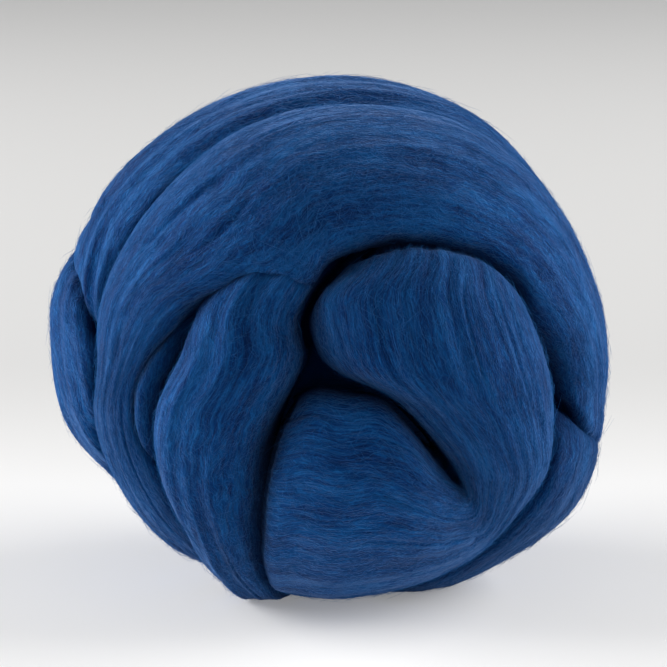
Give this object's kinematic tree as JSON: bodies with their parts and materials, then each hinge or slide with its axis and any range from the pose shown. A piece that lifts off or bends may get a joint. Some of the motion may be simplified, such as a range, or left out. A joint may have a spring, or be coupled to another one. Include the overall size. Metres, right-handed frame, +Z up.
{
  "type": "ball of wool roving",
  "caption": "Ball of thick unspun wool roving, wound and tucked into itself, resting on a small flat spot.",
  "frame": {"origin": "middle of the ball's footprint, on the surface that it rests on", "axes": "+X to the right along the ball's width, +Z up, the side with the tucked knot faces -Y"},
  "size_m": [0.1606, 0.1486, 0.1454],
  "materials": {
    "blue_wool": "matt unspun wool in mid blue, with fine parallel fibres and a faint sheen"
  },
  "bodies": {
    "root": {"roving_ball": "blue_wool"}
  },
  "joints": []
}
